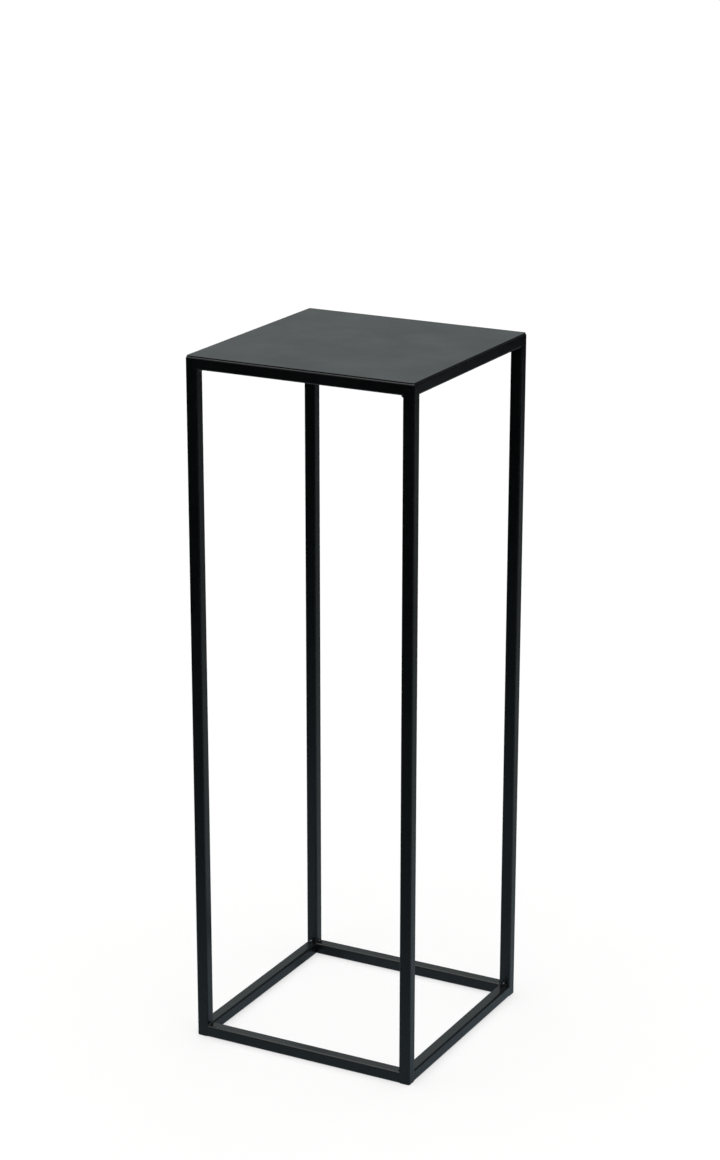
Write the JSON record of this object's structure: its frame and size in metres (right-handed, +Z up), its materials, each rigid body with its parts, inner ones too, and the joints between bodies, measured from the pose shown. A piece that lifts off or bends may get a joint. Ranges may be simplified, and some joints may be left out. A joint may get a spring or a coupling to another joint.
{
  "type": "display plinth",
  "caption": "Tall slim display stand: a flat square sheet top on an open welded frame of square steel tube, with a square ring of tube at the floor.",
  "frame": {"origin": "on the floor, under the middle of the stand (bottom centre of its box)", "axes": "+Z up, along the legs; front faces -Y; +X to the right as seen from the front"},
  "size_m": [0.24, 0.24, 0.7],
  "materials": {
    "powder_coated_sheet": "satin black powder coat",
    "powder_coated_tube": "satin black powder coat",
    "coated_weld": "satin black powder coat over weld metal",
    "black_plastic": "matt black moulded plastic"
  },
  "bodies": {
    "root": {"top_plate": "powder_coated_sheet", "top_rail_front": "powder_coated_tube", "top_rail_right": "powder_coated_tube", "top_rail_back": "powder_coated_tube", "top_rail_left": "powder_coated_tube", "bottom_rail_front": "powder_coated_tube", "bottom_rail_right": "powder_coated_tube", "bottom_rail_back": "powder_coated_tube", "bottom_rail_left": "powder_coated_tube", "leg_front_left": "powder_coated_tube", "leg_front_right": "powder_coated_tube", "leg_back_right": "powder_coated_tube", "leg_back_left": "powder_coated_tube", "bottom_weld_front_rail_left": "coated_weld", "top_weld_front_rail_left": "coated_weld", "bottom_weld_front_rail_right": "coated_weld", "top_weld_front_rail_right": "coated_weld", "bottom_weld_right_rail_front": "coated_weld", "top_weld_right_rail_front": "coated_weld", "bottom_weld_right_rail_back": "coated_weld", "top_weld_right_rail_back": "coated_weld", "bottom_weld_back_rail_right": "coated_weld", "top_weld_back_rail_right": "coated_weld", "bottom_weld_back_rail_left": "coated_weld", "top_weld_back_rail_left": "coated_weld", "bottom_weld_left_rail_back": "coated_weld", "top_weld_left_rail_back": "coated_weld", "bottom_weld_left_rail_front": "coated_weld", "top_weld_left_rail_front": "coated_weld", "mitre_weld_front_left": "coated_weld", "mitre_weld_front_right": "coated_weld", "mitre_weld_back_right": "coated_weld", "mitre_weld_back_left": "coated_weld", "plate_tack_front_left": "coated_weld", "plate_tack_front_right": "coated_weld", "plate_tack_right_front": "coated_weld", "plate_tack_right_back": "coated_weld", "plate_tack_back_right": "coated_weld", "plate_tack_back_left": "coated_weld", "plate_tack_left_back": "coated_weld", "plate_tack_left_front": "coated_weld", "leg_plug_front_left": "black_plastic", "leg_plug_front_right": "black_plastic", "leg_plug_back_right": "black_plastic", "leg_plug_back_left": "black_plastic"}
  },
  "joints": []
}
